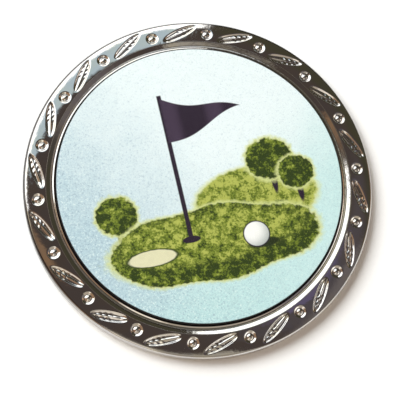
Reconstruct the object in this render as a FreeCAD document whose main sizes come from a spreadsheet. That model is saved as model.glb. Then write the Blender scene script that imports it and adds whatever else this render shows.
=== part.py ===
import FreeCAD, Part
import os

import Sketcher

# Ball marker: a round cast coin with a ring of leaves and dimples cut into its
# rim, and a printed disc with a clear cover that is bonded into its recess.
# Millimetres, +Z up. The origin is the middle of the flat back, which lies on z = 0.
# The first dimple lies ornament_phase anticlockwise of +X.

# Driving dimensions: the alias in the sheet, its value, and what it is.
SIZES = (
    ("insert_diameter", 25.4, "standard one inch insert"),
    ("insert_clearance", 0.08, "gap all round between the insert and the recess"),
    ("bead_top", 0.06, "flat top of the bead that borders the recess"),
    ("bead_slope", 0.09, "width of the bead's outer slope"),
    ("bead_rise", 0.07, "height of the bead above the ledge"),
    ("ledge_width", 0.21, "flat ledge of the moulding outside the bead"),
    ("step_width", 0.36, "width of the slope from the ledge up to the crest"),
    ("step_drop", 0.14, "fall of the ledge below the crest"),
    ("rim_width", 2.0, "from the crest to the outside of the coin"),
    ("crest_height", 1.5, "highest circle of the metal above the back"),
    ("recess_floor", 0.75, "metal left under the recess"),
    ("rim_lean", 3.0, "slope of the rim face at the crest, degrees"),
    ("rim_face_radius", 9.5, "radius of the convex rim face in section"),
    ("rim_edge_round", 0.2, "rounding of the outer edge at the front"),
    ("back_edge_round", 0.25, "rounding of the outer edge at the back"),
    ("ornament_count", 18, "dimples round the rim, and as many leaves"),
    ("ornament_phase", 7.7, "angle of the first dimple from +X, degrees"),
    ("dimple_inset", 0.23, "dimple centres inside the middle of the rim face"),
    ("dimple_diameter", 1.15, "outside of a dimple"),
    ("pip_diameter", 0.56, "pip left standing in the middle of a dimple"),
    ("dimple_depth", 0.15, "depth of a dimple"),
    ("leaf_inset", 0.13, "leaf centres inside the middle of the rim face"),
    ("leaf_length", 3.6, "tip to tip"),
    ("leaf_width", 0.92, "across the middle of a leaf"),
    ("leaf_slant", 23.0, "turn of a leaf away from the rim's direction, degrees"),
    ("leaf_midrib", 0.12, "width of the rib left standing along a leaf"),
    ("leaf_shift", 0.4, "turn of the leaves clockwise from midway, degrees"),
    ("leaf_depth", 0.16, "depth of a leaf"),
    ("cut_headroom", 0.05, "how far above the rim face each cut starts"),
    ("adhesive_inset", 0.35, "how far the adhesive stays inside the insert's edge"),
    ("adhesive_thickness", 0.15, "double-sided adhesive film"),
    ("backing_thickness", 0.8, "steel backing disc"),
    ("backing_round", 0.12, "rolled lower edge of the backing disc"),
    ("print_thickness", 0.1, "printed sheet"),
    ("cover_thickness", 0.2, "clear cover"),
    ("cover_round", 0.06, "softened upper edge of the clear cover"),
)

SHEET = "Sizes"
FULL_TURN = 360.0
Z_UP = FreeCAD.Vector(0, 0, 1)
Y_AXIS = FreeCAD.Vector(0, 1, 0)
ORIGIN = FreeCAD.Vector(0, 0, 0)
# An expression that turns something keeps the axis of the turn it replaces.
SMALL_TURN = FreeCAD.Rotation(Z_UP, 1.0)
SAME_RADIUS = 1e-6
# How a sketch numbers its own axes.
SKETCH_AXES = {"horizontal": -1, "vertical": -2}

# Radii and heights that more than one feature uses, as expressions of the sheet.
INSERT_RADIUS = f"{SHEET}.insert_diameter / 2"
RECESS_RADIUS = f"({INSERT_RADIUS} + {SHEET}.insert_clearance)"
BEAD_TOP_RADIUS = f"({RECESS_RADIUS} + {SHEET}.bead_top)"
BEAD_FOOT_RADIUS = f"({BEAD_TOP_RADIUS} + {SHEET}.bead_slope)"
LEDGE_RADIUS = f"({BEAD_FOOT_RADIUS} + {SHEET}.ledge_width)"
CREST_RADIUS = f"({LEDGE_RADIUS} + {SHEET}.step_width)"
FACE_MIDDLE = f"({CREST_RADIUS} + {SHEET}.rim_width / 2)"
COIN_RADIUS = f"({CREST_RADIUS} + {SHEET}.rim_width)"
LEDGE_HEIGHT = f"({SHEET}.crest_height - {SHEET}.step_drop)"
BEAD_HEIGHT = f"({LEDGE_HEIGHT} + {SHEET}.bead_rise)"

# The rim face is an arc in section, and its centre lies under the moulding.
LEAN = f"({SHEET}.rim_lean * 1deg)"
FACE_CENTRE_RADIUS = f"({CREST_RADIUS} - {SHEET}.rim_face_radius * sin({LEAN}))"
FACE_CENTRE_HEIGHT = (
    f"({SHEET}.crest_height - {SHEET}.rim_face_radius * cos({LEAN}))"
)


def make_sheet(doc):
    """The spreadsheet of driving dimensions."""
    sheet = doc.addObject("Spreadsheet::Sheet", SHEET)
    for row, (alias, value, meaning) in enumerate(SIZES, start=1):
        sheet.set(f"A{row}", meaning)
        sheet.set(f"B{row}", str(value))
        sheet.setAlias(f"B{row}", alias)
    doc.recompute()
    return sheet


def make_body(doc, label):
    """A body whose label names the sub-part, and its origin features by role."""
    body = doc.addObject("PartDesign::Body", label)
    body.Label = label
    roles = {feature.Role: feature for feature in body.Origin.OriginFeatures}
    return body, roles


def sketch_on(body, name, support):
    """A sketch that lies flat on a plane of its own body."""
    sketch = body.newObject("Sketcher::SketchObject", name)
    sketch.AttachmentSupport = (support, [""])
    sketch.MapMode = "FlatFace"
    return sketch


def value_of(sheet, expression):
    """What an expression of the sheet comes to."""
    result = sheet.evalExpression(expression)
    return float(getattr(result, "Value", result))


def bind(sheet, sketch, kind, where, expression):
    """Add a dimension to a sketch and tie it to an expression."""
    value = value_of(sheet, expression)
    index = sketch.addConstraint(Sketcher.Constraint(kind, *where, value))
    sketch.setExpression(f"Constraints[{index}]", expression)


def pin_point(sheet, sketch, curve, end, across, up):
    """Tie a point to its distances from the sketch's origin; "0" puts it on an axis."""
    for kind, axis, expression in (
        ("DistanceX", SKETCH_AXES["vertical"], across),
        ("DistanceY", SKETCH_AXES["horizontal"], up),
    ):
        if expression == "0":
            sketch.addConstraint(
                Sketcher.Constraint("PointOnObject", curve, end, axis)
            )
        else:
            bind(sheet, sketch, kind, (-1, 1, curve, end), expression)


def face_slope(radius):
    """Expression for the slope of the rim face at a distance from the axis."""
    return f"asin(({radius} - {FACE_CENTRE_RADIUS}) / {SHEET}.rim_face_radius)"


def face_height(radius):
    """Expression for the height of the rim face at a distance from the axis."""
    return (
        f"({FACE_CENTRE_HEIGHT}"
        f" + {SHEET}.rim_face_radius * cos({face_slope(radius)}))"
    )


def coin_section(sheet, body, roles):
    """Half section of the coin, from its axis round the outside and back to it."""
    sketch = sketch_on(body, "coin_section", roles["XZ_Plane"])
    corners = (
        ("0", "0"),
        (COIN_RADIUS, "0"),
        (COIN_RADIUS, face_height(COIN_RADIUS)),
        (CREST_RADIUS, f"{SHEET}.crest_height"),
        (LEDGE_RADIUS, LEDGE_HEIGHT),
        (BEAD_FOOT_RADIUS, LEDGE_HEIGHT),
        (BEAD_TOP_RADIUS, BEAD_HEIGHT),
        (RECESS_RADIUS, BEAD_HEIGHT),
        (RECESS_RADIUS, f"{SHEET}.recess_floor"),
        ("0", f"{SHEET}.recess_floor"),
    )
    rim_face = 2
    points = [section_point(sheet, across, up) for across, up in corners]
    for index, start in enumerate(points):
        end = points[(index + 1) % len(points)]
        if index == rim_face:
            middle = section_point(sheet, FACE_MIDDLE, face_height(FACE_MIDDLE))
            sketch.addGeometry(Part.Arc(start, middle, end))
        else:
            sketch.addGeometry(Part.LineSegment(start, end))
    for index, (across, up) in enumerate(corners):
        following = (index + 1) % len(corners)
        sketch.addConstraint(
            Sketcher.Constraint("Coincident", index, 2, following, 1)
        )
        pin_point(sheet, sketch, index, 1, across, up)
    bind(sheet, sketch, "Radius", (rim_face,), f"{SHEET}.rim_face_radius")
    return sketch


def section_point(sheet, across, up):
    """A point of a sketch whose distances are given as expressions."""
    return FreeCAD.Vector(value_of(sheet, across), value_of(sheet, up), 0)


def sketch_on_rim(sheet, body, plane, name, inset):
    """A sketch that lies along the rim face, a little above it."""
    radius = f"({FACE_MIDDLE} - {SHEET}.{inset})"
    sketch = sketch_on(body, name, plane)
    sketch.AttachmentOffset = FreeCAD.Placement(
        ORIGIN, FreeCAD.Rotation(Y_AXIS, value_of(sheet, face_slope(radius)))
    )
    sketch.setExpression("AttachmentOffset.Base.x", radius)
    sketch.setExpression(
        "AttachmentOffset.Base.z", f"{face_height(radius)} + {SHEET}.cut_headroom"
    )
    sketch.setExpression("AttachmentOffset.Rotation.Angle", face_slope(radius))
    return sketch


def add_circle(sheet, sketch, index, radius):
    """A circle round the sketch's origin."""
    sketch.addGeometry(Part.Circle(ORIGIN, Z_UP, value_of(sheet, radius)))
    sketch.addConstraint(Sketcher.Constraint("Coincident", index, 3, -1, 1))
    bind(sheet, sketch, "Radius", (index,), radius)


def dimple_sketch(sheet, body, plane):
    """The ring of a dimple: its outside and the pip left in its middle."""
    sketch = sketch_on_rim(sheet, body, plane, "dimple_outline", "dimple_inset")
    for index, alias in enumerate(("dimple_diameter", "pip_diameter")):
        add_circle(sheet, sketch, index, f"{SHEET}.{alias} / 2")
    return sketch


def leaf_sketch(sheet, body, plane):
    """The two halves of a leaf, one each side of its midrib."""
    sketch = sketch_on_rim(sheet, body, plane, "leaf_outline", "leaf_inset")
    # A leaf runs along (-sin, cos) of its slant, and its halves lie to either side.
    sine = f"sin({SHEET}.leaf_slant * 1deg)"
    cosine = f"cos({SHEET}.leaf_slant * 1deg)"
    half_length = f"{SHEET}.leaf_length / 2"
    rib = f"{SHEET}.leaf_midrib / 2"
    edge = f"{SHEET}.leaf_width / 2"
    for half, side in enumerate((1, -1)):
        ends = [
            (
                f"{side} * {rib} * {cosine} - {end} * {half_length} * {sine}",
                f"{side} * {rib} * {sine} + {end} * {half_length} * {cosine}",
            )
            for end in (-side, side)
        ]
        crown = (f"{side} * {edge} * {cosine}", f"{side} * {edge} * {sine}")
        first, second, middle = [
            section_point(sheet, across, up) for across, up in (*ends, crown)
        ]
        line = 2 * half
        arc = line + 1
        sketch.addGeometry(Part.LineSegment(second, first))
        sketch.addGeometry(Part.Arc(first, middle, second))
        sketch.addConstraint(Sketcher.Constraint("Coincident", line, 2, arc, 1))
        sketch.addConstraint(Sketcher.Constraint("Coincident", line, 1, arc, 2))
        pin_point(sheet, sketch, line, 2, *ends[0])
        pin_point(sheet, sketch, line, 1, *ends[1])
        # Radius of an arc from its chord and its rise.
        rise = f"({edge} - {rib})"
        radius = f"({half_length}) ^ 2 / (2 * {rise}) + {rise} / 2"
        bind(sheet, sketch, "Radius", (arc,), radius)
    return sketch


def cut_into_rim(body, name, sketch, depth):
    """Pocket a rim sketch to a depth below the rim face."""
    pocket = body.newObject("PartDesign::Pocket", name)
    pocket.Profile = sketch
    pocket.Type = "Length"
    pocket.setExpression("Length", f"{SHEET}.{depth} + {SHEET}.cut_headroom")
    return pocket


def circle_edge(shape, radius, pick):
    """Name of the lowest or highest circular edge of one radius: pick is min or max."""
    circles = [
        (edge.Curve.Center.z, f"Edge{index}")
        for index, edge in enumerate(shape.Edges, start=1)
        if isinstance(edge.Curve, Part.Circle)
        and abs(edge.Curve.Radius - radius) < SAME_RADIUS
    ]
    height, name = pick(circles)
    return name


def round_edge(doc, sheet, body, name, radius, pick, rounding):
    """Round the lowest or highest circular edge of one radius."""
    base = body.Tip
    fillet = body.newObject("PartDesign::Fillet", name)
    fillet.Base = (base, [circle_edge(base.Shape, value_of(sheet, radius), pick)])
    fillet.setExpression("Radius", f"{SHEET}.{rounding}")
    doc.recompute()


def make_coin_body(doc, sheet):
    """The cast coin: turned section, rounded edges, dimples and leaves."""
    body, roles = make_body(doc, "coin_body")
    turned = body.newObject("PartDesign::Revolution", "turned_blank")
    turned.Profile = coin_section(sheet, body, roles)
    turned.ReferenceAxis = (roles["Z_Axis"], [""])
    turned.Angle = FULL_TURN
    doc.recompute()
    round_edge(doc, sheet, body, "rounded_front", COIN_RADIUS, max, "rim_edge_round")
    round_edge(doc, sheet, body, "rounded_back", COIN_RADIUS, min, "back_edge_round")

    # The leaves stand about midway between the dimples, on a plane of their own.
    leaf_plane = body.newObject("PartDesign::Plane", "leaf_plane")
    leaf_plane.AttachmentSupport = (roles["XY_Plane"], [""])
    leaf_plane.MapMode = "FlatFace"
    leaf_plane.AttachmentOffset = FreeCAD.Placement(ORIGIN, SMALL_TURN)
    leaf_plane.setExpression(
        "AttachmentOffset.Rotation.Angle",
        f"180deg / {SHEET}.ornament_count - {SHEET}.leaf_shift * 1deg",
    )
    doc.recompute()

    dimple = dimple_sketch(sheet, body, roles["XY_Plane"])
    leaf = leaf_sketch(sheet, body, leaf_plane)
    doc.recompute()
    cuts = [
        cut_into_rim(body, "dimple", dimple, "dimple_depth"),
        cut_into_rim(body, "leaf", leaf, "leaf_depth"),
    ]
    doc.recompute()
    ring = body.newObject("PartDesign::PolarPattern", "ornament_ring")
    ring.Originals = cuts
    ring.Axis = (roles["Z_Axis"], [""])
    ring.Angle = FULL_TURN
    ring.setExpression("Occurrences", f"{SHEET}.ornament_count")
    body.Tip = ring
    body.Placement = FreeCAD.Placement(ORIGIN, SMALL_TURN)
    body.setExpression("Placement.Rotation.Angle", f"{SHEET}.ornament_phase * 1deg")
    doc.recompute()
    return body


def make_disc(doc, sheet, label, radius, thickness, height):
    """A plain round layer of the insert, standing at a height above the back."""
    body, roles = make_body(doc, label)
    sketch = sketch_on(body, f"{label}_outline", roles["XY_Plane"])
    add_circle(sheet, sketch, 0, radius)
    layer = body.newObject("PartDesign::Pad", f"{label}_layer")
    layer.Profile = sketch
    layer.setExpression("Length", thickness)
    body.setExpression("Placement.Base.z", height)
    doc.recompute()
    return body


def make_insert(doc, sheet):
    """The four layers of the insert, each standing on the one below it."""
    layers = (
        (
            "adhesive_pad",
            f"{INSERT_RADIUS} - {SHEET}.adhesive_inset",
            f"{SHEET}.adhesive_thickness",
        ),
        ("backing_disc", INSERT_RADIUS, f"{SHEET}.backing_thickness"),
        ("printed_disc", INSERT_RADIUS, f"{SHEET}.print_thickness"),
        ("clear_cover", INSERT_RADIUS, f"{SHEET}.cover_thickness"),
    )
    bodies = {}
    height = f"{SHEET}.recess_floor"
    for label, radius, thickness in layers:
        bodies[label] = make_disc(doc, sheet, label, radius, thickness, height)
        height = f"{height} + {thickness}"
    for label, name, pick, rounding in (
        ("backing_disc", "rolled_edge", min, "backing_round"),
        ("clear_cover", "soft_edge", max, "cover_round"),
    ):
        round_edge(doc, sheet, bodies[label], name, INSERT_RADIUS, pick, rounding)
    return list(bodies.values())


def check(doc, parts, blank_volume):
    """Stop if a feature failed, a shape is unsound or the ornament cut nothing."""
    for item in doc.Objects:
        if "Invalid" in item.State or "Error" in item.State:
            raise RuntimeError(f"{item.Name} did not recompute: {item.State}")
    for part in parts:
        if part.Shape.isNull() or not part.Shape.isValid():
            raise RuntimeError(f"{part.Label} has no sound shape")
    coin = parts[0]
    if coin.Shape.Volume >= blank_volume:
        raise RuntimeError("the dimples and leaves cut nothing from the rim")


def main():
    doc = FreeCAD.newDocument("ball_marker")
    sheet = make_sheet(doc)
    coin = make_coin_body(doc, sheet)
    parts = [coin, *make_insert(doc, sheet)]
    doc.recompute()
    check(doc, parts, doc.getObject("rounded_back").Shape.Volume)
    os.makedirs("parts", exist_ok=True)
    for part in parts:
        part.Shape.exportStep(f"parts/{part.Label}.step")
        box = part.Shape.BoundBox
        print(
            f"{part.Label}: {len(part.Shape.Solids)} solid, "
            f"{part.Shape.Volume:.3f} mm3, z {box.ZMin:.3f} to {box.ZMax:.3f}"
        )


main()
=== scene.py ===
from math import atan2, cos, pi, radians, sin, sqrt

import bpy
import numpy as np
from mathutils import Matrix, Vector


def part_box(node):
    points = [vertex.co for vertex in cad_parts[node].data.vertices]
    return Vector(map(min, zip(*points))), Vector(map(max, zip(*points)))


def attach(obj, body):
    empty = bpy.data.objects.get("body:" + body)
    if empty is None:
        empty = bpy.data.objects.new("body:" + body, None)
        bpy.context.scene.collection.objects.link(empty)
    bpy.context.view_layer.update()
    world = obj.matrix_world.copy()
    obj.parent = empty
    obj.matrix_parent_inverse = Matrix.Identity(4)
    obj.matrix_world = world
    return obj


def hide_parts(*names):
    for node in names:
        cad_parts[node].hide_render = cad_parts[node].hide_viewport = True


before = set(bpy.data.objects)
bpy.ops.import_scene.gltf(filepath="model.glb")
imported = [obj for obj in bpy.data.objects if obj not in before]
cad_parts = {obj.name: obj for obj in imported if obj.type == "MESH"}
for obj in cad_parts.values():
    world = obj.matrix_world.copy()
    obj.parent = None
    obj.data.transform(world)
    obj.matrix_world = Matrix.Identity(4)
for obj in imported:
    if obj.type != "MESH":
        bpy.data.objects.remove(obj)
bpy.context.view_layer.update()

# The looks of a round coin marker: a plated body with a ring of leaves and dimples,
# and an insert with a printed scene under a clear cover.
# Sizes are millimetres until a mesh is made, and MM turns them into metres.

MM = 0.001
BODY = "root"


# Sizes that the frame gives

def node_radius(node):
    """How far a round node reaches from the coin's axis, in millimetres."""
    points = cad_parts[node].data.vertices
    return max(sqrt(point.co.x ** 2 + point.co.y ** 2) for point in points) / MM


def node_heights(node):
    """The bottom and top of a node, in millimetres."""
    low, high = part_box(node)
    return low.z / MM, high.z / MM


COIN_RADIUS = node_radius("coin_body")
CREST_HEIGHT = node_heights("coin_body")[1]
INSERT_RADIUS = node_radius("printed_disc")
RECESS_FLOOR = node_heights("adhesive_pad")[0]

# Sizes of the coin's section, as in the CAD model but with some edges rounder

CREST_RADIUS = COIN_RADIUS - 2.0
RECESS_RADIUS = INSERT_RADIUS + 0.08
# The moulding: a slope down from the crest, a level ledge, and a bead by the recess.
BEAD_TOP_RADIUS = RECESS_RADIUS + 0.06
BEAD_FOOT_RADIUS = BEAD_TOP_RADIUS + 0.09
LEDGE_RADIUS = BEAD_FOOT_RADIUS + 0.21
LEDGE_HEIGHT = CREST_HEIGHT - 0.14
BEAD_HEIGHT = LEDGE_HEIGHT + 0.07
FACE_ARC_RADIUS = 9.5
FACE_LEAN = radians(3.0)
FACE_ARC_ACROSS = CREST_RADIUS - FACE_ARC_RADIUS * sin(FACE_LEAN)
FACE_ARC_HEIGHT = CREST_HEIGHT - FACE_ARC_RADIUS * cos(FACE_LEAN)
FRONT_ROUND = 0.25
FRONT_ROUND_STEPS = 9
BACK_ROUND = 0.25
BACK_ROUND_STEPS = 6
CREST_ROUND = 0.04
BEAD_ROUND = 0.03
RECESS_ROUND = 0.08
# Narrow strips beside a rounding or a crest, which keep the shading of the flat
# parts level.
EDGE_STRIP = 0.05
CREST_STRIP = 0.07
FLAT_STRIP = 0.5

# The ornament of the rim

ORNAMENTS = 18
PITCH = 2 * pi / ORNAMENTS
FIRST_DIMPLE = radians(7.7)
FIRST_LEAF = FIRST_DIMPLE + PITCH / 2 - radians(0.4)
DIMPLE_CIRCLE = CREST_RADIUS + 0.77
DIMPLE_RADIUS = 0.575
DIMPLE_WALL = 0.27
DIMPLE_DEPTH = 0.15
PIP_RADIUS = 0.3
PIP_RISE = 0.14
LEAF_CIRCLE = CREST_RADIUS + 0.87
LEAF_SLANT = radians(23.0)
LEAF_HALF_LENGTH = 1.8
LEAF_HALF_WIDTH = 0.46
# The inner end of a leaf is blunt and its outer end is pointed.
LEAF_FULLNESS = 2.2
LEAF_BLUNT_END = 0.5
LEAF_POINTED_END = 0.72
LEAF_DEPTH = 0.16
LEAF_WALL = 0.18
LEAF_BLUNT_RAMP = 0.85
LEAF_POINTED_RAMP = 0.6
LEAF_SWELL = 0.04
RIB_HALF_WIDTH = 0.14
RIB_RISE = 0.06
# Each vein rises gently towards the blunt end and drops again steeply.
VEIN_SPACING = 0.5
VEIN_DROP = 0.17
VEIN_RISE = 0.05
VEIN_SLOPE = 0.84
VEIN_MARGIN = 0.1
# The veins fade out from the middle of the leaf towards its blunt end.
VEIN_FADE = (-0.2, 0.5)

# Half the length over which a leaf's outline is measured for its lean.
NUDGE = 0.01

# How finely the coin is divided

COARSE_STEPS = 540
FINE_STEPS = 3 * COARSE_STEPS
FINE_ROWS = 38
FINE_INNER_RADIUS = CREST_RADIUS + 0.1


# Meshes

def make_object(name, points, faces):
    """A smooth-shaded object from points in millimetres."""
    mesh = bpy.data.meshes.new(name)
    mesh.from_pydata((np.asarray(points) * MM).tolist(), [], faces)
    mesh.shade_smooth()
    piece = bpy.data.objects.new(name, mesh)
    bpy.context.scene.collection.objects.link(piece)
    return piece


def ring(radius, height, steps):
    """Points of a level circle."""
    angles = np.arange(steps) * (2 * pi / steps)
    return np.stack(
        [radius * np.cos(angles), radius * np.sin(angles), np.full(steps, height)],
        axis=1,
    )


def join_rings(first, first_steps, second, second_steps):
    """Faces between two rings of equal steps, or of one step to three."""
    faces = []
    if first_steps == second_steps:
        for step in range(first_steps):
            after = (step + 1) % first_steps
            faces.append((first + step, first + after, second + after, second + step))
        return faces
    finer_above = second_steps > first_steps
    coarse, fine = (first, second) if finer_above else (second, first)
    coarse_steps, fine_steps = sorted((first_steps, second_steps))
    for step in range(coarse_steps):
        low = coarse + step
        high = coarse + (step + 1) % coarse_steps
        thirds = [fine + (3 * step + part) % fine_steps for part in range(4)]
        strip = [
            (low, thirds[1], thirds[0]),
            (low, high, thirds[2], thirds[1]),
            (high, thirds[3], thirds[2]),
        ]
        if not finer_above:
            strip = [face[::-1] for face in strip]
        faces.extend(strip)
    return faces


def skin_rings(name, rings):
    """A closed turned solid over rings that run from the middle of its underside,
    round the outside, to the middle of its top."""
    points = []
    faces = []
    starts = []
    for circle in rings:
        starts.append(len(points))
        points.extend(circle.tolist())
    sizes = [len(circle) for circle in rings]
    faces.append(tuple(range(sizes[0]))[::-1])
    for index in range(len(rings) - 1):
        faces.extend(
            join_rings(starts[index], sizes[index], starts[index + 1], sizes[index + 1])
        )
    faces.append(tuple(starts[-1] + step for step in range(sizes[-1])))
    return make_object(name, points, faces)


def soften_corners(corners, roundings, steps=4):
    """A section whose corners are rounded, each over so many steps: a rounding is the
    length of edge that a corner gives up, and 0 keeps the corner."""
    section = []
    for index, corner in enumerate(corners):
        amount = roundings[index]
        here = Vector(corner)
        if amount == 0:
            section.append(tuple(here))
            continue
        before = here + (Vector(corners[index - 1]) - here).normalized() * amount
        after = here + (Vector(corners[index + 1]) - here).normalized() * amount
        for step in range(steps + 1):
            share = step / steps
            bend = before.lerp(here, share).lerp(here.lerp(after, share), share)
            section.append(tuple(bend))
    return section


def arc(middle, radius, start, end, steps):
    """Points of a section's arc, between two angles above the outward direction."""
    return [
        (
            middle[0] + radius * cos(start + (end - start) * step / steps),
            middle[1] + radius * sin(start + (end - start) * step / steps),
        )
        for step in range(steps + 1)
    ]


# The coin

def face_height(radius):
    """Height of the bare rim face at a distance from the axis."""
    return FACE_ARC_HEIGHT + np.sqrt(
        FACE_ARC_RADIUS ** 2 - (radius - FACE_ARC_ACROSS) ** 2
    )


def ease(value):
    """Smooth step from 0 to 1."""
    held = np.clip(value, 0.0, 1.0)
    return held * held * (3.0 - 2.0 * held)


def nearest_offset(angle, first):
    """Turn from the nearest ornament of a ring whose first one is given."""
    return (angle - first + PITCH / 2) % PITCH - PITCH / 2


def dimple_relief(radius, angle):
    """Height that the dimples add to the rim face: a round groove with a pip in it."""
    turn = nearest_offset(angle, FIRST_DIMPLE)
    distance = np.hypot(radius * np.cos(turn) - DIMPLE_CIRCLE, radius * np.sin(turn))
    groove = -DIMPLE_DEPTH * ease((DIMPLE_RADIUS - distance) / DIMPLE_WALL)
    pip = np.clip(1.0 - (distance / PIP_RADIUS) ** 2, 0.0, 1.0)
    return groove + PIP_RISE * pip


def ridge(distance, half_width):
    """Rounded ridge of height 1 along a line, from the distance to the line."""
    return ease(1.0 - np.abs(distance) / half_width)


def leaf_half_width(along):
    """Half width of a leaf at a distance along it; its blunt end lies ahead."""
    share = np.clip(np.abs(along) / LEAF_HALF_LENGTH, 0.0, 1.0)
    taper = np.where(along > 0, LEAF_BLUNT_END, LEAF_POINTED_END)
    return LEAF_HALF_WIDTH * (1.0 - share ** LEAF_FULLNESS) ** taper


def leaf_inside(along, across):
    """How far a point lies inside a leaf's outline; negative outside it."""
    wide = leaf_half_width(along)
    behind = leaf_half_width(along - NUDGE)
    ahead = leaf_half_width(along + NUDGE)
    lean = (ahead - behind) / (2 * NUDGE)
    return (wide - np.abs(across)) / np.sqrt(1.0 + lean ** 2)


def leaf_relief(radius, angle):
    """Height that the leaves add to the rim face: a hollow with a midrib and veins."""
    turn = nearest_offset(angle, FIRST_LEAF)
    outward = radius * np.cos(turn) - LEAF_CIRCLE
    round_rim = radius * np.sin(turn)
    along = round_rim * cos(LEAF_SLANT) - outward * sin(LEAF_SLANT)
    across = round_rim * sin(LEAF_SLANT) + outward * cos(LEAF_SLANT)

    inside = leaf_inside(along, across)
    hollow = ease(inside / LEAF_WALL)
    hollow *= ease((LEAF_HALF_LENGTH - along) / LEAF_BLUNT_RAMP)
    hollow *= ease((LEAF_HALF_LENGTH + along) / LEAF_POINTED_RAMP)

    swell = LEAF_SWELL * ease((inside - LEAF_WALL) / LEAF_HALF_WIDTH)
    rib = RIB_RISE * ridge(across, RIB_HALF_WIDTH)
    lean = along - VEIN_SLOPE * across
    past_vein = lean % VEIN_SPACING
    slope_up = ease(past_vein / (VEIN_SPACING - VEIN_DROP))
    drop = ease((VEIN_SPACING - past_vein) / VEIN_DROP)
    floor = ease(inside / VEIN_MARGIN - 1.0)
    veins = VEIN_RISE * slope_up * drop * floor
    veins *= ease((VEIN_FADE[1] - along) / (VEIN_FADE[1] - VEIN_FADE[0]))
    return hollow * (np.maximum(rib, veins) + swell - LEAF_DEPTH)


def rim_rings(outer_radius):
    """The fine rings of the rim face, with the ornament cut into them."""
    angle = np.arange(FINE_STEPS) * (2 * pi / FINE_STEPS)
    rings = []
    for radius in np.linspace(outer_radius, FINE_INNER_RADIUS, FINE_ROWS + 1):
        relief = dimple_relief(radius, angle) + leaf_relief(radius, angle)
        height = face_height(radius) + relief
        rings.append(
            np.stack([radius * np.cos(angle), radius * np.sin(angle), height], axis=1)
        )
    return rings


def moulding_section():
    """The section from the crest down to the recess floor."""
    strip_outer = CREST_RADIUS + CREST_STRIP
    corners = [
        (strip_outer, float(face_height(strip_outer))),
        (CREST_RADIUS, CREST_HEIGHT),
        (LEDGE_RADIUS, LEDGE_HEIGHT),
        (BEAD_FOOT_RADIUS, LEDGE_HEIGHT),
        (BEAD_TOP_RADIUS, BEAD_HEIGHT),
        (RECESS_RADIUS, BEAD_HEIGHT),
        (RECESS_RADIUS, RECESS_FLOOR),
        (RECESS_RADIUS - FLAT_STRIP, RECESS_FLOOR),
    ]
    return soften_corners(corners, (0, CREST_ROUND, *[BEAD_ROUND] * 4, RECESS_ROUND, 0))


def make_coin():
    """The plated coin, from the middle of its back to the middle of its recess."""
    flat_back = COIN_RADIUS - BACK_ROUND
    back = [(flat_back - FLAT_STRIP, 0.0), (flat_back - EDGE_STRIP, 0.0)]
    back += arc((flat_back, BACK_ROUND), BACK_ROUND, -pi / 2, 0.0, BACK_ROUND_STEPS)

    # The front edge touches the wall and the arc of the rim face.
    round_across = COIN_RADIUS - FRONT_ROUND
    run = round_across - FACE_ARC_ACROSS
    rise = sqrt((FACE_ARC_RADIUS - FRONT_ROUND) ** 2 - run ** 2)
    front_middle = (round_across, FACE_ARC_HEIGHT + rise)
    meeting = atan2(rise, run)
    wall = [
        (COIN_RADIUS, BACK_ROUND + EDGE_STRIP),
        (COIN_RADIUS, front_middle[1] - EDGE_STRIP),
    ]
    front = arc(front_middle, FRONT_ROUND, 0.0, meeting, FRONT_ROUND_STEPS)[:-1]
    face_outer = round_across + FRONT_ROUND * cos(meeting)

    rings = [ring(*corner, COARSE_STEPS) for corner in back + wall + front]
    rings += rim_rings(face_outer)
    rings += [ring(*corner, COARSE_STEPS) for corner in moulding_section()]
    return skin_rings("coin", rings)


# The insert

# Width of the strip inside a disc's rounded edge.
DISC_STRIP = 0.3
PRINT_ROUND = 0.02
PRINT_ROUND_STEPS = 4
COVER_LOWER_ROUND = 0.01
COVER_UPPER_ROUND = 0.06
COVER_ROUND_STEPS = 6
# The print stops a little short of the cover, so that their faces don't coincide.
PRINT_GAP = 0.004


def make_disc(name, bottom, top, lower_round, upper_round, steps):
    """A disc of the insert's radius with rounded edges."""
    inner = INSERT_RADIUS - DISC_STRIP
    corners = [
        (inner, bottom),
        (INSERT_RADIUS, bottom),
        (INSERT_RADIUS, top),
        (inner, top),
    ]
    section = soften_corners(corners, (0, lower_round, upper_round, 0), steps)
    return skin_rings(name, [ring(*corner, COARSE_STEPS) for corner in section])


def make_print():
    """The printed sheet."""
    bottom, top = node_heights("printed_disc")
    return make_disc(
        "print_sheet", bottom, top - PRINT_GAP, PRINT_ROUND, PRINT_ROUND, PRINT_ROUND_STEPS
    )


def make_cover():
    """The clear cover, with a soft upper edge."""
    bottom, top = node_heights("clear_cover")
    return make_disc(
        "cover", bottom, top, COVER_LOWER_ROUND, COVER_UPPER_ROUND, COVER_ROUND_STEPS
    )


# Shader nodes

def srgb(red, green, blue):
    """A colour from its screen values of 0 to 255."""
    linear = []
    for value in (red, green, blue):
        share = value / 255
        linear.append(share / 12.92 if share <= 0.04045 else ((share + 0.055) / 1.055) ** 2.4)
    return (*linear, 1.0)


def plug(tree, value, socket):
    """Give a socket a field to follow, or a constant."""
    if isinstance(value, Field):
        tree.links.new(value.socket, socket)
    else:
        socket.default_value = value


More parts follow.
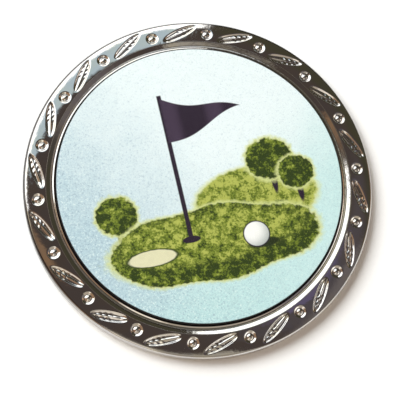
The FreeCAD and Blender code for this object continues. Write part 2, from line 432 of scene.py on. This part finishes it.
class Field:
    """A value that varies over a surface: shader nodes that are used like a number."""

    def __init__(self, tree, socket):
        self.tree = tree
        self.socket = socket

    def combine(self, operation, *others, swap=False):
        """A Math node's result for this field and others, or for them the other way
        round."""
        node = self.tree.nodes.new("ShaderNodeMath")
        node.operation = operation
        values = (self, *others)
        if swap:
            values = values[::-1]
        for value, socket in zip(values, node.inputs):
            plug(self.tree, value, socket)
        return Field(self.tree, node.outputs[0])

    def __add__(self, other):
        return self.combine("ADD", other)

    def __sub__(self, other):
        return self.combine("SUBTRACT", other)

    def __rsub__(self, other):
        return self.combine("SUBTRACT", other, swap=True)

    def __mul__(self, other):
        return self.combine("MULTIPLY", other)

    def step(self, low, high):
        """Smooth step: 0 at low and 1 at high, which may lie either way round."""
        if low > high:
            return 1.0 - self.step(high, low)
        node = self.tree.nodes.new("ShaderNodeMapRange")
        node.interpolation_type = "SMOOTHSTEP"
        for value, name in ((self, "Value"), (low, "From Min"), (high, "From Max")):
            plug(self.tree, value, node.inputs[name])
        return Field(self.tree, node.outputs["Result"])

    def scaled(self, low, high):
        """0 to 1 spread over low to high."""
        return self * (high - low) + low


# Which sockets of a Mix node hold the share, the two colours and the mixed colour.
MIX_SHARE = 0
MIX_FIRST = 6
MIX_SECOND = 7
MIX_RESULT = 2


def mix_colours(tree, share, first, second):
    """A colour between two colours."""
    node = tree.nodes.new("ShaderNodeMix")
    node.data_type = "RGBA"
    plug(tree, share, node.inputs[MIX_SHARE])
    plug(tree, first, node.inputs[MIX_FIRST])
    plug(tree, second, node.inputs[MIX_SECOND])
    return Field(tree, node.outputs[MIX_RESULT])


def split_vector(tree, vector):
    """The x, y and z of a vector."""
    split = tree.nodes.new("ShaderNodeSeparateXYZ")
    plug(tree, vector, split.inputs[0])
    return [Field(tree, output) for output in split.outputs]


def place(tree):
    """Where a point lies on the object, in millimetres."""
    source = tree.nodes.new("ShaderNodeTexCoord")
    in_mm = tree.nodes.new("ShaderNodeVectorMath")
    in_mm.operation = "SCALE"
    in_mm.inputs["Scale"].default_value = 1 / MM
    tree.links.new(source.outputs["Object"], in_mm.inputs[0])
    return Field(tree, in_mm.outputs[0])


def from_axis(x, y):
    """Distance from the coin's axis."""
    return (x * x + y * y).combine("SQRT")


def noise(tree, vector, scale, detail=2.0, roughness=0.5):
    """Noise of 0 to 1 whose scale counts features to a millimetre."""
    node = tree.nodes.new("ShaderNodeTexNoise")
    plug(tree, vector, node.inputs["Vector"])
    node.inputs["Scale"].default_value = scale
    node.inputs["Detail"].default_value = detail
    node.inputs["Roughness"].default_value = roughness
    return Field(tree, node.outputs["Fac"])


def new_material(name):
    """An empty material, its tree and its output."""
    material = bpy.data.materials.new(name)
    material.use_nodes = True
    tree = material.node_tree
    tree.nodes.clear()
    output = tree.nodes.new("ShaderNodeOutputMaterial")
    return material, tree, output.inputs["Surface"]


def principled(tree, **values):
    """A Principled shader, whose inputs are named with _ for a space."""
    node = tree.nodes.new("ShaderNodeBsdfPrincipled")
    for name, value in values.items():
        plug(tree, value, node.inputs[name.replace("_", " ")])
    return node


def bump(tree, height, distance):
    """A surface normal from a height of 0 to 1, whose full height is in millimetres."""
    node = tree.nodes.new("ShaderNodeBump")
    node.inputs["Distance"].default_value = distance * MM
    plug(tree, height, node.inputs["Height"])
    return Field(tree, node.outputs["Normal"])


# Materials: colours, noise scales in features to a millimetre, least and greatest
# roughness, and heights of bumps in millimetres

PLATING = srgb(230, 228, 227)
WARM_PLATING = srgb(234, 230, 222)
# Colour of the painted dark outline round the outermost edge.
DARK_OUTLINE_PLATING = srgb(96, 94, 94)
CAST_SCALE = 1.9
PLATING_GRAIN_SCALE = 14.0
PLATING_FILM_SCALE = 0.7
PLATING_ROUGHNESS = (0.03, 0.08)
PLATING_BUMP = 0.006
# Where the painted dark outline begins, and across how much it fades in.
DARK_OUTLINE_RADIUS = COIN_RADIUS - 0.22
DARK_OUTLINE_BLEND = 0.05

# Steel colours painted dark for the shade in the gap round the insert.
SHADED_DARK_STEEL = srgb(44, 40, 44)
SHADED_LIGHT_STEEL = srgb(78, 74, 76)
STEEL_SCALE = 5.0
STEEL_ROUGHNESS = (0.35, 0.6)
STEEL_BUMP = 0.004

ADHESIVE = srgb(228, 224, 212)
CLOUDY_ADHESIVE = srgb(240, 238, 230)
ADHESIVE_SCALE = 1.2
ADHESIVE_ROUGHNESS = (0.5, 0.75)
ADHESIVE_BUMP = 0.01

# A thin ring of painted shade round the print's edge stands for the shadow in the gap by the
# recess wall, and the cover has no gloss over it.
GAP_SHADE_RADIUS = INSERT_RADIUS - 0.1
GAP_SHADE_BLEND = 0.02
COVER_TINT = (0.985, 0.99, 0.99, 1.0)
COVER_IOR = 1.48
COVER_RIPPLE_SCALE = 0.9
COVER_ROUGHNESS = (0.22, 0.32)
COVER_BUMP = 0.004

PAPER = srgb(247, 247, 246)
PAPER_FIBRE = srgb(253, 253, 252)
PAPER_SCALE = 3.0


def chrome_material():
    """Bright plating over a cast surface that is never quite even."""
    material, tree, surface = new_material("bright_plating")
    vector = place(tree)
    x, y, _ = split_vector(tree, vector)
    cast = noise(tree, vector, CAST_SCALE, detail=3.5)
    grain = noise(tree, vector, PLATING_GRAIN_SCALE)
    film = noise(tree, vector, PLATING_FILM_SCALE).step(0.42, 0.62)
    plating = mix_colours(tree, film, PLATING, WARM_PLATING)
    # The outermost edge is painted darker, as a dark outline round the coin, most of all at
    # the upper left.
    side = (y - x).step(-8.0, 8.0).scaled(0.3, 1.0)
    dark_outline = from_axis(x, y).step(DARK_OUTLINE_RADIUS, DARK_OUTLINE_RADIUS + DARK_OUTLINE_BLEND) * side
    shader = principled(
        tree,
        Base_Color=mix_colours(tree, dark_outline, plating, DARK_OUTLINE_PLATING),
        Metallic=1.0,
        Roughness=grain.scaled(*PLATING_ROUGHNESS),
        Normal=bump(tree, cast * 0.95 + grain * 0.05, PLATING_BUMP),
    )
    tree.links.new(shader.outputs[0], surface)
    return material


def steel_material():
    """Satin steel edge of the stamped backing disc, painted dark for the shade in the gap
    round the insert.
    """
    material, tree, surface = new_material("backing_steel")
    vector = place(tree)
    streaks = noise(tree, vector, STEEL_SCALE, detail=4.0, roughness=0.7)
    shader = principled(
        tree,
        Base_Color=mix_colours(tree, streaks, SHADED_DARK_STEEL, SHADED_LIGHT_STEEL),
        Metallic=0.8,
        Roughness=streaks.scaled(*STEEL_ROUGHNESS),
        Normal=bump(tree, streaks, STEEL_BUMP),
    )
    tree.links.new(shader.outputs[0], surface)
    return material


def adhesive_material():
    """Double-sided film, a little cloudy."""
    material, tree, surface = new_material("adhesive_film")
    vector = place(tree)
    cloud = noise(tree, vector, ADHESIVE_SCALE, detail=4.0)
    shader = principled(
        tree,
        Base_Color=mix_colours(tree, cloud, ADHESIVE, CLOUDY_ADHESIVE),
        Roughness=cloud.scaled(*ADHESIVE_ROUGHNESS),
        Normal=bump(tree, cloud, ADHESIVE_BUMP),
    )
    tree.links.new(shader.outputs[0], surface)
    return material


def cover_material():
    """Clear laminate: almost all light passes, and the rest is a satin gloss."""
    material, tree, surface = new_material("clear_laminate")
    vector = place(tree)
    x, y, _ = split_vector(tree, vector)
    ripple = noise(tree, vector, COVER_RIPPLE_SCALE)
    fresnel = tree.nodes.new("ShaderNodeFresnel")
    fresnel.inputs["IOR"].default_value = COVER_IOR
    # Light that is already inside the cover leaves it freely.
    sides = tree.nodes.new("ShaderNodeNewGeometry")
    outside = 1.0 - Field(tree, sides.outputs["Backfacing"])
    # The gloss stops short of the ring of painted shade at the print's edge.
    inside_gap_shade = from_axis(x, y).step(
        GAP_SHADE_RADIUS + GAP_SHADE_BLEND, GAP_SHADE_RADIUS - GAP_SHADE_BLEND
    )
    gloss_share = Field(tree, fresnel.outputs[0]) * outside * inside_gap_shade
    clear = tree.nodes.new("ShaderNodeBsdfTransparent")
    clear.inputs["Color"].default_value = COVER_TINT
    gloss = tree.nodes.new("ShaderNodeBsdfGlossy")
    plug(tree, ripple.scaled(*COVER_ROUGHNESS), gloss.inputs["Roughness"])
    plug(tree, bump(tree, ripple, COVER_BUMP), gloss.inputs["Normal"])
    both = tree.nodes.new("ShaderNodeMixShader")
    plug(tree, gloss_share, both.inputs[0])
    tree.links.new(clear.outputs[0], both.inputs[1])
    tree.links.new(gloss.outputs[0], both.inputs[2])
    tree.links.new(both.outputs[0], surface)
    return material


def paper_material():
    """White paper on which the coin lies."""
    material, tree, surface = new_material("white_paper")
    vector = place(tree)
    fibre = noise(tree, vector, PAPER_SCALE, detail=3.0)
    shader = principled(
        tree,
        Base_Color=mix_colours(tree, fibre, PAPER, PAPER_FIBRE),
        Roughness=0.9,
        Specular_IOR_Level=0.1,
    )
    tree.links.new(shader.outputs[0], surface)
    return material


# The printed scene, in millimetres on the sheet. An ellipse is its middle and its
# radii, sideways and upward.

PRINT_TURN = radians(13.0)
POLE_ACROSS = -1.9
POLE_FOOT = -4.9
POLE_TOP = 8.6
POLE_HALF_WIDTH = 0.2
FLAG_LENGTH = 7.0
FLAG_DROP = 4.2
FLAG_WAVE = 0.35
# Radians along the flag's length.
WAVE_TURN = 5.5
FOLD_TURN = 11.0
FLAG_MIDDLE = POLE_TOP - FLAG_DROP / 2 - 0.3
HOLE = ((POLE_ACROSS, POLE_FOOT), (0.8, 0.3))
KNOLL = ((4.6, -2.3), (5.4, 2.9))
GREEN = ((-0.2, -5.6), (9.4, 3.3))
LIT_GREEN = ((-0.4, -4.9), (8.2, 2.3))
BUNKER = ((-5.6, -5.9), (2.1, 0.7))
TREES = (
    ((6.5, 1.0), (2.1, 1.9)),
    ((8.6, -0.6), (1.6, 1.5)),
    ((-7.9, -1.6), (1.8, 1.7)),
)
TRUNK_RADII = (0.28, 1.3)
BALL = ((3.8, -5.5), (1.1, 1.1))
BALL_LIGHT = ((3.4, -5.1), (1.7, 1.7))
BALL_SHADOW = ((4.3, -6.4), (1.5, 0.42))
# Widths of outlines, as shares of an ellipse's radii.
BALL_OUTLINE = 0.09
KNOLL_HALO = 0.06
CROWN_HALO = 0.12
GREEN_HALO = 0.05
BUNKER_EDGE = 0.14
SPECKLE_SCALE = 6.5
CLOUD_SCALE = 0.35
PATCH_SCALE = 1.5
BLADE_SCALE = 5.0
FUZZ_SCALE = 2.2
PRINT_SCALE = 4.0
PRINT_ROUGHNESS = (0.4, 0.55)

INK = srgb(44, 32, 48)
FADED_INK = srgb(86, 70, 92)
# Painted shade for the shadow in the gap round the insert.
GAP_SHADE_COLOUR = srgb(22, 19, 22)
GLOW = srgb(212, 218, 150)
SKY_BLUE = srgb(186, 210, 219)
# Partly print and partly painted sheen of the cover.
SKY_AND_SHEEN_WHITE = srgb(238, 248, 249)
SKY_AQUA = srgb(190, 228, 226)
DARK_GRAIN = srgb(142, 166, 184)
LIGHT_GRAIN = srgb(238, 249, 246)
DEEP_GREEN = srgb(48, 62, 22)
MIDDLE_GREEN = srgb(112, 128, 42)
PALE_GREEN = srgb(182, 188, 92)
BUNKER_LIP = srgb(60, 74, 30)
SAND = srgb(226, 222, 186)
SHADED_TURF = srgb(40, 50, 24)
BALL_WHITE = srgb(250, 250, 246)
BALL_GRAY = srgb(176, 182, 178)


def sine(value, turn, start=0.0):
    """Sine along a field, which turns so many radians for each unit of it."""
    return (value * turn + start).combine("SINE")


def sky_and_sheen(tree, vector, sideways, upward):
    """Pale speckled ground, grayer at the left and nearly white at the top right, where the
    white is partly print and partly painted sheen of the cover.
    """
    speckle = noise(tree, vector, SPECKLE_SCALE, detail=3.0, roughness=0.8)
    cloud = noise(tree, vector, CLOUD_SCALE)
    sheen_diagonal = sideways * 0.7 + upward * 0.5 + cloud * 6.0
    # Painted sheen: the ground whitens towards the top right.
    ground = mix_colours(tree, sheen_diagonal.step(-8.0, 7.5), SKY_BLUE, SKY_AND_SHEEN_WHITE)
    low_right = (sideways * 0.6 - upward * 0.8 + cloud * 3.0).step(1.0, 11.0)
    ground = mix_colours(tree, low_right * 0.75, ground, SKY_AQUA)
    # The print's grain is stronger towards the left, and fainter at the top right under the
    # painted sheen.
    grain = sheen_diagonal.step(6.0, -8.0).scaled(0.32, 0.8)
    ground = mix_colours(tree, speckle.step(0.54, 0.66) * grain, ground, DARK_GRAIN)
    return mix_colours(tree, speckle.step(0.46, 0.35) * grain, ground, LIGHT_GRAIN)


class Picture:
    """A print whose shapes are painted one over another."""

    def __init__(self, tree):
        self.tree = tree
        self.vector = place(tree)
        x, y, _ = split_vector(tree, self.vector)
        self.sideways = x * cos(PRINT_TURN) + y * sin(PRINT_TURN)
        self.upward = y * cos(PRINT_TURN) - x * sin(PRINT_TURN)
        self.fuzz = noise(tree, self.vector, FUZZ_SCALE, detail=3.0) - 0.5
        self.colour = sky_and_sheen(tree, self.vector, self.sideways, self.upward)

    def share_out(self, middle, radii):
        """Share of the way out in an ellipse: under 1 inside it."""
        across = (self.sideways - middle[0]) * (1 / radii[0])
        up = (self.upward - middle[1]) * (1 / radii[1])
        return (across * across + up * up).combine("SQRT")

    def ellipse(self, middle, radii):
        """Above zero inside an ellipse."""
        return 1.0 - self.share_out(middle, radii)

    def turf(self, light):
        """Mottled turf in three greens."""
        patches = noise(self.tree, self.vector, PATCH_SCALE, detail=4.0, roughness=0.65)
        blades = noise(self.tree, self.vector, BLADE_SCALE, detail=3.0, roughness=0.7)
        tone = patches * 0.6 + blades * 0.4 + light
        dark = mix_colours(self.tree, tone.step(0.42, 0.50), DEEP_GREEN, MIDDLE_GREEN)
        return mix_colours(self.tree, tone.step(0.50, 0.60), dark, PALE_GREEN)

    def paint(self, shape, colour, softness):
        """Lay a colour wherever a shape is above zero."""
        share = shape.step(-softness, softness)
        self.colour = mix_colours(self.tree, share, self.colour, colour)


def paint_trees(picture):
    """A knoll and trees, each in a pale halo."""
    knoll = picture.ellipse(*KNOLL) + picture.fuzz * 0.12
    picture.paint(knoll + KNOLL_HALO, GLOW, softness=0.08)
    picture.paint(knoll, picture.turf(0.06), softness=0.03)
    for middle, radii in TREES:
        trunk_middle = (middle[0], middle[1] - radii[1])
        trunk = picture.ellipse(trunk_middle, TRUNK_RADII)
        picture.paint(trunk, INK, softness=0.2)
        crown = picture.ellipse(middle, radii) + picture.fuzz * 0.4
        picture.paint(crown + CROWN_HALO, GLOW, softness=0.12)
        picture.paint(crown, picture.turf(-0.06), softness=0.05)


def paint_green(picture):
    """The putting green in its halo, lighter in the middle, with a bunker."""
    edge = sine(picture.sideways, 0.9, 0.5) * 0.05 + picture.fuzz * 0.14
    green = picture.ellipse(*GREEN) + edge
    picture.paint(green + GREEN_HALO, GLOW, softness=0.06)
    picture.paint(green, picture.turf(-0.05), softness=0.02)
    lit = picture.ellipse(*LIT_GREEN) + edge
    picture.paint(lit, picture.turf(0.03), softness=0.15)
    bunker = picture.ellipse(*BUNKER) + picture.fuzz * 0.12
    picture.paint(bunker + BUNKER_EDGE, BUNKER_LIP, softness=0.08)
    picture.paint(bunker, SAND, softness=0.06)


def paint_flag(picture):
    """The hole, the pole in it and a pennant that tapers and waves."""
    picture.paint(picture.ellipse(*HOLE), INK, softness=0.1)
    past_pole = picture.sideways - POLE_ACROSS
    along_pole = (POLE_TOP - picture.upward).combine(
        "MINIMUM", picture.upward - POLE_FOOT
    )
    pole = (POLE_HALF_WIDTH - past_pole.combine("ABSOLUTE")).combine(
        "MINIMUM", along_pole
    )
    picture.paint(pole, INK, softness=0.05)

    along_flag = past_pole * (1 / FLAG_LENGTH)
    wave = sine(along_flag, WAVE_TURN) * FLAG_WAVE
    half_height = (1.0 - along_flag) * (FLAG_DROP / 2)
    from_middle = (picture.upward + wave - FLAG_MIDDLE).combine("ABSOLUTE")
    flag = (half_height - from_middle).combine("MINIMUM", past_pole)
    fold = sine(along_flag, FOLD_TURN, 0.6).step(-0.2, 1.0)
    cloth = mix_colours(picture.tree, fold * 0.5, INK, FADED_INK)
    picture.paint(flag, cloth, softness=0.05)


def paint_ball(picture):
    """A ball on the green, with its shade, its outline and its shadow."""
    picture.paint(picture.ellipse(*BALL_SHADOW), SHADED_TURF, softness=0.25)
    ball = picture.ellipse(*BALL)
    shade = picture.share_out(*BALL_LIGHT).step(0.3, 1.1)
    shaded_white = mix_colours(picture.tree, shade, BALL_WHITE, BALL_GRAY)
    picture.paint(ball + BALL_OUTLINE, INK, softness=0.04)
    picture.paint(ball, shaded_white, softness=0.04)


def print_material():
    """The printed scene: a putting green with a flag, a ball and a few trees."""
    material, tree, surface = new_material("printed_sheet")
    picture = Picture(tree)
    paint_trees(picture)
    paint_green(picture)
    paint_flag(picture)
    paint_ball(picture)
    # Painted shade: a dark ring at the print's edge for the shadow in the gap.
    gap_shade = from_axis(picture.sideways, picture.upward) - GAP_SHADE_RADIUS
    picture.paint(gap_shade, GAP_SHADE_COLOUR, softness=0.03)
    shader = principled(
        tree,
        Base_Color=picture.colour,
        Roughness=noise(tree, picture.vector, PRINT_SCALE).scaled(*PRINT_ROUGHNESS),
        Specular_IOR_Level=0.3,
    )
    tree.links.new(shader.outputs[0], surface)
    return material


# Light

# Soft areas of the room, as the metal sees them: the middle and half width in
# degrees round from +X, the lowest and highest elevation, the softness of their
# edges and their colour. A later area covers an earlier one.
ROOM = (
    ("near ceiling", 270, 42, 36, 73, 3, (0.40, 0.365, 0.30)),
    ("near wall", 285, 48, -20, 40, 5, (0.47, 0.40, 0.325)),
    ("left wall", 207, 36, -20, 48, 6, (0.34, 0.22, 0.14)),
    ("near lamp", 246, 12, 26, 60, 4, (1.1, 1.0, 0.86)),
    ("cream corner", 168, 10, 44, 61, 2, (0.85, 0.74, 0.55)),
    ("dim overhead", 8, 30, 52, 78, 8, (0.085, 0.073, 0.078)),
    ("violet overhead", 24, 12, 68, 76, 3, (0.125, 0.105, 0.175)),
    ("gray overhead", 350, 22, 48, 62, 4, (0.15, 0.13, 0.125)),
    ("lit ceiling", 68, 26, 66, 80, 4, (0.125, 0.115, 0.09)),
    ("warm ceiling", 88, 6, 69, 76, 2, (0.24, 0.19, 0.155)),
    ("ceiling lamp", 78, 8, 64.5, 69.5, 1.5, (0.56, 0.57, 0.56)),
    ("corner lamp", 53, 6, 67.5, 75, 1.5, (0.50, 0.47, 0.36)),
    ("warm reflection", 171, 9, 63, 73, 4, (0.24, 0.15, 0.09)),
    ("window", 112, 28, -20, 61.5, 1.5, (0.51, 0.62, 0.67)),
    ("bright wall", 126, 45, -20, 43, 1.5, (2.0, 2.0, 1.95)),
    ("rising wall", 120, 36, 20, 51, 1.5, (1.9, 1.9, 1.86)),
    ("horizon", 210, 125, -20, 10, 4, (0.9, 0.82, 0.72)),
    ("far wall", 35, 44, -20, 50, 5, (0.06, 0.055, 0.035)),
    ("gray wall", 342, 22, 18, 50, 4, (0.21, 0.19, 0.18)),
    ("warm lamp", 14, 14, 24, 34, 3, (0.80, 0.52, 0.34)),
    ("low window", 332, 42, 4, 18, 3, (1.5, 1.45, 1.35)),
)
# How many degrees the top of an area climbs for each degree round.
ROOM_CLIMB = {"rising wall": 0.29}
ROOM_DARK = (0.068, 0.053, 0.047, 1.0)


def make_world():
    """A room that is dark overhead and bright on one side."""
    world = bpy.data.worlds.new("room")
    bpy.context.scene.world = world
    world.use_nodes = True
    tree = world.node_tree
    tree.nodes.clear()
    source = tree.nodes.new("ShaderNodeTexCoord")
    x, y, z = split_vector(tree, Field(tree, source.outputs["Generated"]))
    elevation = z.combine("ARCSINE").combine("DEGREES")

    colour = ROOM_DARK
    for name, middle, half_width, low, high, soft, tint in ROOM:
        turn = radians(middle)
        ahead = x * cos(turn) + y * sin(turn)
        aside = y * cos(turn) - x * sin(turn)
        azimuth = aside.combine("ARCTAN2", ahead).combine("DEGREES")
        below_top = elevation - azimuth * ROOM_CLIMB.get(name, 0.0)
        share = (
            azimuth.combine("ABSOLUTE").step(half_width + soft, half_width - soft)
            * elevation.step(low - soft, low + soft)
            * below_top.step(high + soft, high - soft)
        )
        colour = mix_colours(tree, share, colour, (*tint, 1.0))

    background = tree.nodes.new("ShaderNodeBackground")
    tree.links.new(colour.socket, background.inputs["Color"])
    output = tree.nodes.new("ShaderNodeOutputWorld")
    tree.links.new(background.outputs[0], output.inputs["Surface"])


def towards(azimuth, elevation):
    """Direction from the coin, from degrees round from +X and degrees up."""
    turn = radians(azimuth)
    rise = radians(elevation)
    return Vector((cos(turn) * cos(rise), sin(turn) * cos(rise), sin(rise)))


# Lamps: degrees round from +X and degrees up, the distance and width in metres, the
# power in watts and the colour.
LAMPS = (
    ("key", 150, 48, 0.5, 0.32, 2.6, (0.94, 0.98, 1.0)),
    ("fill", 300, 38, 0.5, 0.5, 0.2, (1.0, 0.5, 0.25)),
)


def make_lamp(name, azimuth, elevation, distance, width, power, colour):
    """A square soft lamp that faces the coin. The metal mirrors the room instead."""
    lamp = bpy.data.lights.new(name, "AREA")
    lamp.shape = "SQUARE"
    lamp.size = width
    lamp.energy = power
    lamp.color = colour
    place_at = towards(azimuth, elevation)
    holder = bpy.data.objects.new(name, lamp)
    holder.location = place_at * distance
    holder.rotation_euler = place_at.to_track_quat("Z", "Y").to_euler()
    holder.visible_glossy = False
    bpy.context.scene.collection.objects.link(holder)


# Camera: where it stands, in degrees and millimetres

CAMERA_AZIMUTH = 250.4
CAMERA_ELEVATION = 90 - 18.35
CAMERA_DISTANCE = 132.0
FRAME_PIXELS = 400
PIXELS_PER_MM = 11.237
# Pixel at which the middle of the coin's back falls.
ORIGIN_PIXEL = (198.13, 188.49)
SENSOR_WIDTH = 36.0
# The camera sees nothing nearer than this, in metres.
NEAREST_SEEN = 0.01


def make_camera():
    """The camera, with the coin's +Y upwards in the picture."""
    data = bpy.data.cameras.new("camera")
    data.sensor_width = SENSOR_WIDTH
    data.lens = SENSOR_WIDTH * CAMERA_DISTANCE * PIXELS_PER_MM / FRAME_PIXELS
    data.shift_x = (FRAME_PIXELS / 2 - ORIGIN_PIXEL[0]) / FRAME_PIXELS
    data.shift_y = (ORIGIN_PIXEL[1] - FRAME_PIXELS / 2) / FRAME_PIXELS
    data.clip_start = NEAREST_SEEN
    back = towards(CAMERA_AZIMUTH, CAMERA_ELEVATION)
    right = Vector((0, 1, 0)).cross(back).normalized()
    up = back.cross(right)
    camera = bpy.data.objects.new("camera", data)
    turn = Matrix((right, up, back)).transposed().to_4x4()
    camera.matrix_world = Matrix.Translation(back * CAMERA_DISTANCE * MM) @ turn
    bpy.context.scene.collection.objects.link(camera)
    bpy.context.scene.camera = camera


FLOOR_HALF_WIDTH = 1500.0
FLOOR_LEVEL = -0.005


def make_floor():
    """The sheet of paper, a hair's breadth under the coin."""
    half = FLOOR_HALF_WIDTH
    corners = [
        (-half, -half, FLOOR_LEVEL),
        (half, -half, FLOOR_LEVEL),
        (half, half, FLOOR_LEVEL),
        (-half, half, FLOOR_LEVEL),
    ]
    floor = make_object("paper", corners, [(0, 1, 2, 3)])
    floor.data.materials.append(paper_material())


def dress(piece, material, node):
    """Give a piece its finish and let it stand for its CAD node."""
    piece.data.materials.append(material)
    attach(piece, BODY)
    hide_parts(node)


def main():
    scene = bpy.context.scene
    scene.view_settings.view_transform = "Standard"
    make_camera()
    make_world()
    for lamp in LAMPS:
        make_lamp(*lamp)
    make_floor()

    dress(make_coin(), chrome_material(), "coin_body")
    dress(make_print(), print_material(), "printed_disc")
    dress(make_cover(), cover_material(), "clear_cover")
    for node, material in (
        ("backing_disc", steel_material()),
        ("adhesive_pad", adhesive_material()),
    ):
        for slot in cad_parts[node].material_slots:
            slot.material = material

    bpy.context.view_layer.update()


main()
